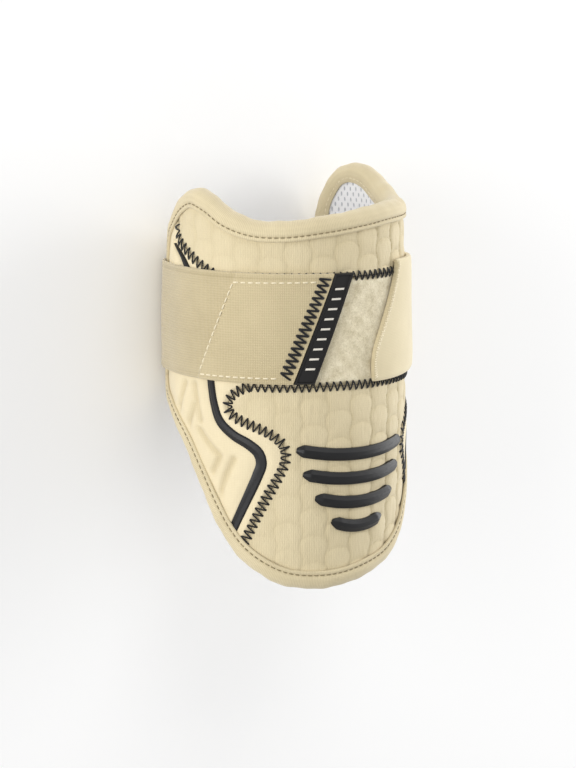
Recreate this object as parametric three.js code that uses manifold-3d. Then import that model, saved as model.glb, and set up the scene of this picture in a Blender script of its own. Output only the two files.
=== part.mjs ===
// A batter's padded elbow guard: a curved wall of sewn panels with a bound rim, closed by an elastic strap.
// Each piece is drawn flat, as its pattern would be cut, and then bent round the arm.
// Flat coordinates are along (round the arm, to the wearer's right of the front centre line), up (along the
// arm) and out (away from the arm, with 0 at the outer face of the wall). All sizes are in millimetres.
import * as THREE from "three";
import { mergeVertices } from "three/addons/utils/BufferGeometryUtils.js";
import Module from "manifold-3d";

const wasm = await Module();
wasm.setup();

// The wall
const shellRadius = 56.8; // outer face of the wall at its fullest level
const wrapHalf = 127.5; // from the front centre line round to a free edge
const crownHeight = 43.5; // from the strap's upper edge to the top of the higher wing
const lobeDrop = 97.5; // from the strap's lower edge to the lowest point of the elbow lobe
const barrelDrop = 2.3; // how much the radius falls at barrelReach from the fullest level
const barrelReach = 104;
const barrelLevel = -10;
const paddingThickness = 6.5;
const liningThickness = 1.2;
const clearance = 0.3; // between touching pieces

// The binding round the rim
const bindingWidth = 9.2;
const bindingThickness = 1.0;
const beadDepth = 3.7; // solid roll of the binding past the edge of the panels

// The strap and what is sewn to it
const strapWidth = 50.8;
const strapThickness = 1.8;
const strapClearance = 0.4;
const strapRise = 2.5; // the strap climbs by this much from the label to the hook tab
const strapRamp = 14; // length over which the strap climbs onto the binding
const tabLength = 80;
const tabStart = 6.9; // from the front centre line to the foot of the hook tab
const tabThickness = 2.4;
const labelWidth = 9.4;
const labelFoot = -33.2; // the label's lower left corner
const labelLean = 19.2; // how far the label's top stands to the right of its foot
const labelThickness = 2.6;

// The panels
const quiltCell = 12.3; // width and height of a quilted cell
const quiltDepth = 1.3;
const inlayWidth = 3.9;
const inlayDepth = 1.0;
const inlayTip = 0.25; // width of the inlay's tip, as a share of inlayWidth
const inlayTipRun = 0.125; // share of the inlay's length over which it widens
const inlayStop = 0.45; // the rim that the inlay ends at lies lower than this share of lobeDrop
const grooveWidth = 1.7;
const grooveDepth = 0.9;

// The raised ribs on the lobe
const ribHeight = 1.9;
const ribWidth = 6.2;
const ribPitch = 11.4;
const ribLevel = -31; // level of the top rib's middle
const ribBow = 3.2; // how far a rib's middle hangs under its ends
const ribTip = 0.3; // width of a rib's end, as a share of ribWidth
const ribSquareness = 8; // the higher, the nearer to its ends a rib keeps its width

// How finely the flat pieces are cut before they are bent
const columnStep = quiltCell / 2;
const rowStep = 49.2;
const rimStations = 104;
const beadSteps = 5;
const cornerSteps = 4;
const lobeSeamSteps = 36;
const crownSeamSteps = 16;
const inlaySteps = 40;
const grooveSteps = 4;
const ribSteps = 16;
const snap = 1e-4; // points nearer to each other than this are one point
const mitreLimit = 0.5; // a sharp corner moves out by at most grow over this

// Levels on the straight free edges, as shares of the strap's width above its lower edge
const edgeUps = [-0.1, 0.15, 0.5, 0.85, 1.12];
// The rim, clockwise from the left free edge. along is a share of wrapHalf, rise a share of crownHeight above
// the strap and drop a share of lobeDrop below it.
const rimTop = [
  { along: -0.955, rise: 0.43 },
  { along: -0.881, rise: 0.59 },
  { along: -0.795, rise: 0.77 },
  { along: -0.703, rise: 0.86 },
  { along: -0.6, rise: 0.784 },
  { along: -0.51, rise: 0.645 },
  { along: -0.41, rise: 0.56 },
  { along: -0.3, rise: 0.547 },
  { along: -0.16, rise: 0.588 },
  { along: 0.02, rise: 0.65 },
  { along: 0.16, rise: 0.69 },
  { along: 0.35, rise: 0.7 },
  { along: 0.51, rise: 0.71 },
  { along: 0.607, rise: 0.815 },
  { along: 0.7, rise: 0.95 },
  { along: 0.8, rise: 1.0 },
  { along: 0.877, rise: 0.94 },
  { along: 0.935, rise: 0.78 },
  { along: 0.978, rise: 0.56 },
];
const rimBottom = [
  { along: 0.955, drop: 0.185 },
  { along: 0.86, drop: 0.25 },
  { along: 0.73, drop: 0.31 },
  { along: 0.6, drop: 0.4 },
  { along: 0.47, drop: 0.545 },
  { along: 0.363, drop: 0.705 },
  { along: 0.29, drop: 0.81 },
  { along: 0.17, drop: 0.91 },
  { along: 0.053, drop: 0.96 },
  { along: -0.08, drop: 0.995 },
  { along: -0.199, drop: 0.999 },
  { along: -0.3, drop: 0.98 },
  { along: -0.3945, drop: 0.927 },
  { along: -0.48, drop: 0.848 },
  { along: -0.55, drop: 0.743 },
  { along: -0.61, drop: 0.62 },
  { along: -0.674, drop: 0.477 },
  { along: -0.7545, drop: 0.335 },
  { along: -0.868, drop: 0.218 },
  { along: -0.955, drop: 0.15 },
];
// The seam round the lower quilted panel's left side, from its upper corner down past the rim
const lobeSeam = [
  { along: -0.43, drop: 0.018 },
  { along: -0.475, drop: 0.045 },
  { along: -0.505, drop: 0.085 },
  { along: -0.51, drop: 0.125 },
  { along: -0.49, drop: 0.16 },
  { along: -0.44, drop: 0.19 },
  { along: -0.39, drop: 0.215 },
  { along: -0.335, drop: 0.252 },
  { along: -0.297, drop: 0.3 },
  { along: -0.29, drop: 0.355 },
  { along: -0.305, drop: 0.42 },
  { along: -0.363, drop: 0.555 },
  { along: -0.424, drop: 0.71 },
  { along: -0.5, drop: 0.9 },
];
// The seam under the upper quilted panel's left end, from the rim down to the strap
const crownSeam = [
  { along: -0.8, rise: 0.9 },
  { along: -0.812, rise: 0.47 },
  { along: -0.805, rise: 0.335 },
  { along: -0.72, rise: 0.175 },
  { along: -0.63, rise: 0.045 },
  { along: -0.56, rise: -0.044 },
];
// Middle line of the rubber inlay in a side panel, from its tip above the strap down to the binding
const inlayTop = [
  { along: -0.83, rise: 0.235 },
  { along: -0.76, rise: 0.1 },
  { along: -0.7, rise: -0.1 },
];
const inlayBottom = [
  { along: -0.6, drop: -0.15 },
  { along: -0.582, drop: 0.03 },
  { along: -0.57, drop: 0.11 },
  { along: -0.545, drop: 0.19 },
  { along: -0.487, drop: 0.254 },
  { along: -0.425, drop: 0.295 },
  { along: -0.388, drop: 0.335 },
  { along: -0.378, drop: 0.385 },
  { along: -0.392, drop: 0.44 },
  { along: -0.43, drop: 0.548 },
  { along: -0.51, drop: 0.76 },
];
// Soft grooves pressed into a side panel: each runs from its start over its elbow to its end
const grooves = [
  { along: [-0.72, -0.745, -0.775], drop: [0.03, 0.1, 0.17] },
  { along: [-0.665, -0.655, -0.635], drop: [0.03, 0.1, 0.2] },
  { along: [-0.665, -0.685, -0.705], drop: [0.13, 0.18, 0.23] },
  { along: [-0.64, -0.6, -0.54], drop: [0.245, 0.295, 0.36] },
  { along: [-0.54, -0.555, -0.575], drop: [0.36, 0.4, 0.44] },
  { along: [-0.482, -0.52, -0.552], drop: [0.37, 0.47, 0.57] },
];
// Raised ribs: half of each one's length as a share of wrapHalf
const ribs = [{ half: 0.25 }, { half: 0.225 }, { half: 0.18 }, { half: 0.115 }];
// Points along a rib, as shares of half its length from its middle
const ribShares = [-1, -0.5, 0, 0.5, 1];
// The hook tab's free end, as shares of the strap's width up and of its lean to the right
const tabEnd = [
  { lean: 0, up: -0.016 },
  { lean: -0.02, up: 0.116 },
  { lean: 0.03, up: 0.26 },
  { lean: 0.35, up: 0.52 },
  { lean: 0.62, up: 0.71 },
  { lean: 1, up: 1.03 },
  { lean: 0.96, up: 1.07 },
];

// Places worked out from the sizes
const wallDepth = paddingThickness + clearance + liningThickness;
const bindingOut = clearance + bindingThickness;
const bindingIn = wallDepth + clearance + bindingThickness;
const beadRadius = (bindingOut + bindingIn) / 2;
const beadMiddle = (bindingOut - bindingIn) / 2;
const panelInset = beadDepth + clearance;
const edgeLift = bindingOut + clearance;
// The middle of the rolled free edge, which the strap bends round
const beadAlong = wrapHalf - beadRadius;
const beadAngle = beadAlong / shellRadius;

// The wall's radius at a level
function radiusAt(up) {
  return shellRadius - barrelDrop * ((up - barrelLevel) / barrelReach) ** 2;
}

// Where a flat point of the wall goes on the finished guard, which stands upright with its front towards -Y
function wallPlace(along, up, out) {
  const angle = along / shellRadius;
  const radius = radiusAt(up) + out;
  return new THREE.Vector3(radius * Math.sin(angle), -radius * Math.cos(angle), up);
}

// The strap's loop starts at the front centre line, runs over the right side, round the free edge, straight
// across the back and over the left side. out is 0 at its inner face.
const cornerRadius = edgeLift - beadMiddle;
const cornerLength = (Math.PI - beadAngle) * (cornerRadius + strapThickness / 2);
const backHalf = (shellRadius + beadMiddle) * Math.sin(beadAngle);
const loopHalf = beadAlong + cornerLength + backHalf;
const loopLength = 2 * loopHalf;

// How far the strap's inner face stands off the wall
function strapLift(along) {
  const rampEnd = wrapHalf - bindingWidth;
  const share = THREE.MathUtils.smoothstep(along, rampEnd - strapRamp, rampEnd);
  return THREE.MathUtils.lerp(strapClearance, edgeLift, share);
}

function strapPlace(along, up, out) {
  if (along > loopHalf) {
    const mirrored = strapPlace(loopLength - along, up, out);
    return mirrored.setX(-mirrored.x);
  }
  if (along <= beadAlong) {
    return wallPlace(along, up, strapLift(along) + out);
  }
  const beadRing = radiusAt(up) + beadMiddle;
  const centreX = beadRing * Math.sin(beadAngle);
  const centreY = -beadRing * Math.cos(beadAngle);
  const reach = cornerRadius + out;
  if (along <= beadAlong + cornerLength) {
    const angle = beadAngle + ((along - beadAlong) / cornerLength) * (Math.PI - beadAngle);
    return new THREE.Vector3(centreX + reach * Math.sin(angle), centreY - reach * Math.cos(angle), up);
  }
  const share = (loopHalf - along) / backHalf;
  return new THREE.Vector3(centreX * share, centreY + reach, up);
}

const crownUp = (rise) => strapWidth + rise * crownHeight;
const lobeUp = (drop) => -drop * lobeDrop;

function tablePoints(rows) {
  return rows.map((row) => {
    const up = row.rise === undefined ? lobeUp(row.drop) : crownUp(row.rise);
    return new THREE.Vector2(row.along * wrapHalf, up);
  });
}

// A free edge, from under the strap to above it
function edgePoints(side) {
  return edgeUps.map((up) => new THREE.Vector2(side * wrapHalf, up * strapWidth));
}

function smoothCurve(points, closed) {
  const spatial = points.map((p) => new THREE.Vector3(p.x, p.y, 0));
  return new THREE.CatmullRomCurve3(spatial, closed, "centripetal");
}

const rimCurve = smoothCurve(
  [...edgePoints(-1), ...tablePoints(rimTop), ...edgePoints(1).reverse(), ...tablePoints(rimBottom)],
  true,
);
const rimStation = Array.from({ length: rimStations }, (_, i) => ({
  point: rimCurve.getPointAt(i / rimStations),
  tangent: rimCurve.getTangentAt(i / rimStations),
}));

// A point at a station of the rim, set in from the edge by inset
function rimPoint(station, inset) {
  const { point, tangent } = rimStation[station];
  return new THREE.Vector2(point.x + tangent.y * inset, point.y - tangent.x * inset);
}

function rimOutline(inset) {
  return rimStation.map((_, i) => rimPoint(i, inset));
}

// Points of an open smooth line, evenly spaced
function linePoints(points, count) {
  return smoothCurve(points, false)
    .getSpacedPoints(count)
    .map((p) => new THREE.Vector2(p.x, p.y));
}

// Outline of a strip of a given width along a line. widthAt gives the share of the width at a share of the
// length.
function stripOutline(line, width, widthAt = () => 1) {
  const sides = [[], []];
  line.forEach((point, i) => {
    const before = line[Math.max(i - 1, 0)];
    const after = line[Math.min(i + 1, line.length - 1)];
    const direction = after.clone().sub(before).normalize();
    const half = (width / 2) * widthAt(i / (line.length - 1));
    sides[0].push(new THREE.Vector2(point.x - direction.y * half, point.y + direction.x * half));
    sides[1].push(new THREE.Vector2(point.x + direction.y * half, point.y - direction.x * half));
  });
  return [...sides[0], ...sides[1].reverse()];
}

// An outline moved outwards by grow
function grownOutline(outline, grow) {
  const outwards = THREE.ShapeUtils.isClockWise(outline) ? -1 : 1;
  return outline.map((point, i) => {
    const before = outline[(i + outline.length - 1) % outline.length];
    const after = outline[(i + 1) % outline.length];
    const first = point.clone().sub(before).normalize();
    const second = after.clone().sub(point).normalize();
    const normal = new THREE.Vector2(first.y + second.y, -first.x - second.x).normalize();
    const stretch = Math.max(mitreLimit, normal.dot(new THREE.Vector2(second.y, -second.x)));
    return point.clone().addScaledVector(normal, (outwards * grow) / stretch);
  });
}

// A flat slab with the given outline, from low to high
function slab(outline, low, high) {
  const settings = { depth: high - low, bevelEnabled: false };
  return new THREE.ExtrudeGeometry(new THREE.Shape(outline), settings).translate(0, 0, low);
}

function solidOf(geometry) {
  const bare = new THREE.BufferGeometry().setAttribute("position", geometry.getAttribute("position"));
  const merged = mergeVertices(bare, snap);
  return new wasm.Manifold(
    new wasm.Mesh({
      numProp: 3,
      vertProperties: merged.attributes.position.array,
      triVerts: new Uint32Array(merged.index.array),
    }),
  );
}

const slabSolid = (outline, low, high) => solidOf(slab(outline, low, high));

// A solid's triangles as lists of three points
function trianglesOf(solid) {
  const { vertProperties, triVerts, numProp } = solid.getMesh();
  const points = Array.from({ length: vertProperties.length / numProp }, (_, i) =>
    new THREE.Vector3().fromArray(vertProperties, i * numProp),
  );
  return Array.from({ length: triVerts.length / 3 }, (_, i) =>
    [0, 1, 2].map((corner) => points[triVerts[3 * i + corner]]),
  );
}

const keyOf = (p) => [p.x, p.y, p.z].map((value) => Math.round(value / snap)).join();

// The part of a triangle on each side of the plane where one coordinate has a value, as two rings of points
function ringsBeside(triangle, axis, value) {
  const offsets = triangle.map((p) => p.getComponent(axis) - value);
  const sides = offsets.map((offset) => (Math.abs(offset) < snap ? 0 : Math.sign(offset)));
  if (Math.min(...sides) >= 0) return [[], triangle];
  if (Math.max(...sides) <= 0) return [triangle, []];
  const rings = [[], []];
  triangle.forEach((point, i) => {
    const next = (i + 1) % triangle.length;
    if (sides[i] <= 0) rings[0].push(point);
    if (sides[i] >= 0) rings[1].push(point);
    if (sides[i] * sides[next] < 0) {
      // The ends are taken in one order, so that both triangles of an edge get the same point.
      const [from, to] = sides[i] < 0 ? [point, triangle[next]] : [triangle[next], point];
      const share = (value - from.getComponent(axis)) / (to.getComponent(axis) - from.getComponent(axis));
      const cut = from.clone().lerp(to, share).setComponent(axis, value);
      rings.forEach((ring) => ring.push(cut));
    }
  });
  return rings;
}

// Cuts triangles along a plane, into those below it and those above
function splitAt(triangles, axis, value) {
  const halves = [[], []];
  for (const triangle of triangles) {
    ringsBeside(triangle, axis, value).forEach((ring, half) => {
      for (let i = 2; i < ring.length; i += 1) halves[half].push([ring[0], ring[i - 1], ring[i]]);
    });
  }
  return halves;
}

// The closed rings round a group of triangles
function ringsRound(triangles) {
  const edges = new Map();
  for (const triangle of triangles) {
    triangle.forEach((point, i) => {
      const next = triangle[(i + 1) % 3];
      const back = keyOf(next) + "|" + keyOf(point);
      if (edges.has(back)) edges.delete(back);
      else edges.set(keyOf(point) + "|" + keyOf(next), { point, next });
    });
  }
  // Two rings may touch at a point, so a point can have more than one edge that leaves it.
  const leaving = new Map();
  for (const edge of edges.values()) {
    const key = keyOf(edge.point);
    leaving.set(key, [...(leaving.get(key) ?? []), edge]);
  }
  return [...leaving.values()].flatMap((starts) => {
    const ring = [];
    for (let edge = starts.pop(); edge; edge = leaving.get(keyOf(edge.next)).pop()) ring.push(edge.point);
    return ring.length ? [ring] : [];
  });
}

// Twice the area of a flat triangle, positive when it runs the way the sign says
function doubleArea(a, b, c, sign) {
  return sign * ((b.x - a.x) * (c.y - a.y) - (b.y - a.y) * (c.x - a.x));
}

// Fills a level ring with well shaped triangles that use every one of its points
function filled(ring, sign) {
  const left = ring.map((point) => ({ point, key: keyOf(point) }));
  const triangles = [];
  while (left.length > 2) {
    let best = { quality: -Infinity };
    left.forEach((middle, i) => {
      const corners = [left.at(i - 1), middle, left[(i + 1) % left.length]];
      const [a, b, c] = corners.map((corner) => corner.point);
      const longest = Math.max(a.distanceToSquared(b), b.distanceToSquared(c), c.distanceToSquared(a));
      const quality = doubleArea(a, b, c, sign) / longest;
      if (quality <= best.quality) return;
      const covers = ({ point: p, key }) =>
        doubleArea(a, b, p, sign) > -snap &&
        doubleArea(b, c, p, sign) > -snap &&
        doubleArea(c, a, p, sign) > -snap &&
        corners.every((corner) => corner.key !== key);
      if (!left.some(covers)) best = { quality, i, triangle: [a, b, c] };
    });
    if (!best.triangle) throw new Error("a level ring can't be filled");
    triangles.push(best.triangle);
    left.splice(best.i, 1);
  }
  return triangles;
}

// Whether two flat segments cross between their ends
function crosses(a, b, c, d) {
  const apart = (p, q, r, s) => doubleArea(p, q, r, 1) * doubleArea(p, q, s, 1) < 0;
  return apart(a, b, c, d) && apart(c, d, a, b);
}

// Whether a ring goes round a point
function surrounds(ring, p) {
  const hits = ring.filter((b, i) => {
    const a = ring.at(i - 1);
    return a.y > p.y !== b.y > p.y && p.x < a.x + ((b.x - a.x) * (p.y - a.y)) / (b.y - a.y);
  });
  return hits.length % 2 === 1;
}

// Joins a hole to the ring round it by the shortest bridge that crosses nothing
function bridged(ring, hole) {
  const edges = [ring, hole].flatMap((points) => points.map((p, i) => [points.at(i - 1), p]));
  const bridges = ring.flatMap((from, i) => hole.map((to, j) => ({ i, j, from, to })));
  bridges.sort((one, other) => one.from.distanceToSquared(one.to) - other.from.distanceToSquared(other.to));
  const { i, j } = bridges.find(({ from, to }) => !edges.some(([p, q]) => crosses(from, to, p, q)));
  return [...ring.slice(0, i + 1), ...hole.slice(j), ...hole.slice(0, j + 1), ...ring.slice(i)];
}

const isLevel = ([a, b, c]) => Math.abs(a.z - b.z) < snap && Math.abs(a.z - c.z) < snap;

// Fills a level face anew, from the points of its rings that isKept lets stand
function refilledFace(face, isKept) {
  const sign = Math.sign(face.reduce((sum, [a, b, c]) => sum + doubleArea(a, b, c, 1), 0));
  const rings = ringsRound(face)
    .map((ring) => ring.filter(isKept))
    .filter((ring) => ring.length > 2);
  const around = (ring) => ring.reduce((sum, b, i) => sum + doubleArea(ring[0], ring.at(i - 1), b, sign), 0);
  const outer = rings.filter((ring) => around(ring) >= -snap);
  for (const hole of rings.filter((ring) => around(ring) < -snap)) {
    const home = outer.findIndex((ring) => surrounds(ring, hole[0]));
    outer[home] = bridged(outer[home], hole);
  }
  return outer.flatMap((ring) => filled(ring, sign));
}

// Fills the level faces of a block anew, from the points of its walls and the crossings of the grid alone
function refilled(triangles, isCrossing) {
  const walls = triangles.filter((triangle) => !isLevel(triangle));
  const onWalls = new Set(walls.flat().map(keyOf));
  const isKept = (p) => isCrossing(p) || onWalls.has(keyOf(p));
  const faces = new Map();
  for (const triangle of triangles.filter(isLevel)) {
    const key = Math.round(triangle[0].z / snap);
    faces.set(key, [...(faces.get(key) ?? []), triangle]);
  }
  return [...walls, ...[...faces.values()].flatMap((face) => refilledFace(face, isKept))];
}

// Cuts a flat solid's triangles at columns and then at rows, halving the work at each cut
function divided(triangles, columns, rows, isCrossing) {
  const block = refilled(triangles, isCrossing);
  const [axis, lines] = columns.length ? [0, columns] : [1, rows];
  if (!block.length || !lines.length) return block;
  const cut = lines.length >> 1;
  const parts = [lines.slice(0, cut), lines.slice(cut + 1)];
  return splitAt(block, axis, lines[cut]).flatMap((half, i) =>
    axis === 0 ? divided(half, parts[i], rows, isCrossing) : divided(half, [], parts[i], isCrossing),
  );
}

// Upright walls between the edges of the level faces, two triangles to an edge, or null when the edges of
// different levels don't match
function wallsBetween(caps) {
  const open = new Map();
  for (const triangle of caps) {
    triangle.forEach((point, i) => {
      const next = triangle[(i + 1) % 3];
      const back = keyOf(next) + "|" + keyOf(point);
      if (!open.delete(back)) open.set(keyOf(point) + "|" + keyOf(next), [point, next]);
    });
  }
  const stacks = new Map();
  const planKey = (p) => [p.x, p.y].map((value) => Math.round(value / snap)).join();
  for (const edge of open.values()) {
    const key = edge.map(planKey).sort().join("|");
    stacks.set(key, [...(stacks.get(key) ?? []), edge]);
  }
  if ([...stacks.values()].some((stack) => stack.length % 2)) return null;
  return [...stacks.values()].flatMap((stack) => {
    stack.sort((one, other) => one[0].z - other[0].z);
    return stack.flatMap(([p, q], i) => {
      if (i % 2) return [];
      const [r, s] = stack[i + 1];
      return [
        [q, p, s],
        [q, s, r],
      ];
    });
  });
}

function gridded(solid, columns, rows) {
  const onLine = (value, lines) => lines.some((line) => Math.abs(value - line) < snap);
  const isCrossing = (p) => onLine(p.x, columns) && onLine(p.y, rows);
  const triangles = divided(trianglesOf(solid), columns, rows, isCrossing);
  const caps = triangles.filter(isLevel);
  const walls = wallsBetween(caps);
  return walls ? [...caps, ...walls] : triangles;
}

function geometryOf(triangles) {
  const positions = triangles.flatMap((t) => t.flatMap((p) => [p.x, p.y, p.z]));
  const geometry = new THREE.BufferGeometry();
  geometry.setAttribute("position", new THREE.Float32BufferAttribute(positions, 3));
  geometry.computeVertexNormals();
  return geometry;
}

// Multiples of step between low and high; none when step is 0
function gridLines(low, high, step) {
  if (!step) return [];
  const first = Math.ceil(low / step);
  const count = Math.max(0, Math.floor(high / step) - first + 1);
  return Array.from({ length: count }, (_, i) => (first + i) * step);
}

// A flat solid cut along the given lines and bent by place. relief moves the outer face of the wall in or
// out.
function bent(solid, place, columns, rows, relief = null) {
  return geometryOf(
    gridded(solid, columns, rows).map((triangle) =>
      triangle.map((p) => {
        const out = relief && Math.abs(p.z) < snap ? relief(p.x, p.y) : p.z;
        return place(p.x, p.y, out);
      }),
    ),
  );
}

function bentToWall(solid, rows = rowStep, relief = null) {
  const { min, max } = solid.boundingBox();
  const columns = gridLines(min[0], max[0], columnStep);
  return bent(solid, wallPlace, columns, gridLines(min[1], max[1], rows), relief);
}

// The strap needs its columns only where it is curved: along the wall and round the rolled edges.
const cornerStep = cornerLength / cornerSteps;
const cornerColumns = Array.from({ length: cornerSteps + 1 }, (_, i) => beadAlong + i * cornerStep);
const halfColumns = [...gridLines(0, beadAlong - columnStep / 2, columnStep), ...cornerColumns];
const strapColumns = [...halfColumns, ...halfColumns.map((column) => loopLength - column).reverse()];

function bentToStrap(outline, thickness) {
  const inside = (column) => outline.some((p) => p.x < column) && outline.some((p) => p.x > column);
  return bent(slabSolid(outline, 0, thickness), strapPlace, strapColumns.filter(inside), []);
}

// The quilting sinks between rounded cells. They stand in columns, each half a cell higher than the one
// before.
function quiltRelief(along, up) {
  const column = Math.floor(along / quiltCell);
  const across = Math.abs(Math.sin((Math.PI * along) / quiltCell));
  const height = Math.abs(Math.sin(Math.PI * (up / quiltCell + column / 2)));
  return -quiltDepth * (1 - Math.min(across, height));
}

const material = (color, roughness) => new THREE.MeshStandardMaterial({ color, roughness, metalness: 0 });
const quiltedCloth = material("#dccfa9", 0.85);
const smoothCloth = material("#e2d6b2", 0.8);
const strapCloth = material("#d6c9a0", 0.9);
const loopPile = material("#dccfae", 1.0);
const liningMesh = material("#e6e6e8", 0.8);
const blackRubber = material("#26262a", 0.45);

const guard = new THREE.Group();

function addPiece(name, geometry, look) {
  const mesh = new THREE.Mesh(geometry, look);
  mesh.name = name;
  guard.add(mesh);
}

// The outlines that divide the wall into panels
const far = 2 * (wrapHalf + lobeDrop); // beyond every outline
const mirror = (points) => points.map((p) => new THREE.Vector2(-p.x, p.y)).reverse();
const lobeLeft = linePoints(tablePoints(lobeSeam), lobeSeamSteps);
const lobeFoot = new THREE.Vector2(lobeLeft.at(-1).x, -far);
const lobeRegion = [...lobeLeft, lobeFoot, ...mirror([...lobeLeft, lobeFoot])];
const crownLeft = linePoints(tablePoints(crownSeam), crownSeamSteps);
const crownTip = new THREE.Vector2(crownLeft[0].x, far);
const crownRegion = [crownTip, ...crownLeft, ...mirror([crownTip, ...crownLeft])];
const seamHigh = crownLeft.at(-1).y;
const seamLow = lobeLeft[0].y;
const labelMiddle = labelFoot + labelWidth / 2;
const leanAt = (up) => (up / strapWidth) * labelLean;
// The loop panel ends at the label's middle line and, on the right, between the feet of the two seams.
const loopRegion = [
  new THREE.Vector2(labelMiddle + leanAt(seamLow), seamLow + clearance),
  new THREE.Vector2(-lobeLeft[0].x, seamLow + clearance),
  new THREE.Vector2(-crownLeft.at(-1).x, seamHigh - clearance),
  new THREE.Vector2(labelMiddle + leanAt(seamHigh), seamHigh - clearance),
];

const wallBlank = slabSolid(rimOutline(panelInset), -paddingThickness, 0);
const insideRim = slabSolid(rimOutline(panelInset), -far, far);
// Grooves that reach the rim end halfway under the binding's flap.
const underBinding = slabSolid(rimOutline((panelInset + bindingWidth) / 2), -far, far);
const cutter = (region, grow = 0) => slabSolid(grownOutline(region, grow), -far, far);

function addQuiltedPanels() {
  const crown = wallBlank.intersect(cutter(crownRegion));
  const lobe = wallBlank.intersect(cutter(lobeRegion));
  addPiece("upper_quilted_panel", bentToWall(crown, quiltCell / 2, quiltRelief), quiltedCloth);
  addPiece("lower_quilted_panel", bentToWall(lobe, quiltCell / 2, quiltRelief), quiltedCloth);
  addPiece("loop_panel", bentToWall(wallBlank.intersect(cutter(loopRegion))), loopPile);
}

// Line of the inlay on the left side, from its tip to past the binding
const inlayLine = linePoints([...tablePoints(inlayTop), ...tablePoints(inlayBottom)], inlaySteps);
const inlayTaper = (share) => Math.min(1, THREE.MathUtils.lerp(inlayTip, 1, share / inlayTipRun));

// A strip cut off where it comes within inset of the rim, on one flank of the lobe
function stoppedAtRim(strip, side, inset) {
  const isFlank = ({ point }) => point.x * side > 0 && point.y < lobeUp(inlayStop);
  const flank = rimStation.filter(isFlank).map(({ point }) => point);
  return strip.intersect(insideRim).subtract(slabSolid(stripOutline(flank, 2 * inset), -far, far));
}

function grooveLine(groove) {
  return linePoints(
    groove.along.map((along, i) => new THREE.Vector2(along * wrapHalf, lobeUp(groove.drop[i]))),
    grooveSteps,
  );
}

const turned = (outline, side) => (side < 0 ? outline : mirror(outline));

// The wall's material outside the middle panels, on one side
function sideBlank(side) {
  const halfStart = (labelMiddle + leanAt(seamHigh) - lobeLeft[0].x) / 2;
  const half = [
    new THREE.Vector2(halfStart, -far),
    new THREE.Vector2(halfStart, far),
    new THREE.Vector2(side * far, far),
    new THREE.Vector2(side * far, -far),
  ];
  return [crownRegion, lobeRegion, loopRegion].reduce(
    (blank, region) => blank.subtract(cutter(region, clearance)),
    wallBlank.intersect(cutter(half)),
  );
}

function addSidePanel(side) {
  const sideName = side < 0 ? "left" : "right";
  const channelLine = turned(stripOutline(inlayLine, inlayWidth + 2 * clearance, inlayTaper), side);
  const channel = slabSolid(channelLine, -inlayDepth - clearance, far);
  let panel = sideBlank(side).subtract(stoppedAtRim(channel, side, bindingWidth - clearance));
  for (const groove of grooves) {
    const line = turned(stripOutline(grooveLine(groove), grooveWidth), side);
    panel = panel.subtract(slabSolid(line, -grooveDepth, far).intersect(underBinding));
  }
  addPiece("side_panel_" + sideName, bentToWall(panel), smoothCloth);
  const strip = slabSolid(turned(stripOutline(inlayLine, inlayWidth, inlayTaper), side), -inlayDepth, 0);
  const inlay = stoppedAtRim(strip, side, bindingWidth + clearance);
  addPiece("side_inlay_" + sideName, bentToWall(inlay, 0), blackRubber);
}

function addLining() {
  const top = -paddingThickness - clearance;
  const sheet = slabSolid(rimOutline(panelInset), top - liningThickness, top);
  addPiece("mesh_lining", bentToWall(sheet), liningMesh);
}

// The binding's section, as inset from the rim and out from the wall: two flaps joined by a round bead
function bindingSection() {
  const bead = Array.from({ length: beadSteps + 1 }, (_, i) => {
    const angle = Math.PI / 2 + (Math.PI * i) / beadSteps;
    return [beadRadius + beadRadius * Math.cos(angle), beadMiddle + beadRadius * Math.sin(angle)];
  });
  return [
    [bindingWidth, clearance],
    [bindingWidth, bindingOut],
    ...bead,
    [bindingWidth, -bindingIn],
    [bindingWidth, -bindingIn + bindingThickness],
    [beadDepth, -bindingIn + bindingThickness],
    [beadDepth, clearance],
  ];
}

function addBinding() {
  const section = bindingSection();
  const rings = rimStation.map((_, station) =>
    section.map(([inset, out]) => {
      const point = rimPoint(station, inset);
      return wallPlace(point.x, point.y, out);
    }),
  );
  const triangles = rings.flatMap((ring, i) => {
    const next = rings[(i + 1) % rings.length];
    return ring.flatMap((point, j) => {
      const k = (j + 1) % ring.length;
      return [
        [point, next[j], next[k]],
        [point, next[k], ring[k]],
      ];
    });
  });
  addPiece("edge_binding", geometryOf(triangles), smoothCloth);
}

function addStrap() {
  const seam = tabStart + tabLength;
  const labelGap = labelFoot - strapClearance;
  const elastic = [
    new THREE.Vector2(seam + clearance, strapRise),
    new THREE.Vector2(loopLength + labelGap, 0),
    new THREE.Vector2(loopLength + labelGap + labelLean, strapWidth),
    new THREE.Vector2(seam + clearance, strapRise + strapWidth),
  ];
  addPiece("elastic_strap", bentToStrap(elastic, strapThickness), strapCloth);
  const end = tabEnd.map((row) => new THREE.Vector2(tabStart + row.lean * labelLean, row.up * strapWidth));
  const tab = [...end, new THREE.Vector2(seam, strapRise + strapWidth), new THREE.Vector2(seam, strapRise)];
  addPiece("hook_tab", bentToStrap(tab, tabThickness), smoothCloth);
  const label = [
    new THREE.Vector2(labelFoot, 0),
    new THREE.Vector2(labelFoot + labelWidth, 0),
    new THREE.Vector2(labelFoot + labelWidth + labelLean, strapWidth),
    new THREE.Vector2(labelFoot + labelLean, strapWidth),
  ];
  const block = slabSolid(label, strapClearance, strapClearance + labelThickness);
  addPiece("rubber_label", bentToWall(block, 0), blackRubber);
}

// A rib's width at a share of its length, which falls to its rounded ends
const ribTaper = (share) => Math.max(ribTip, Math.sqrt(1 - (2 * share - 1) ** ribSquareness));

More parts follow.
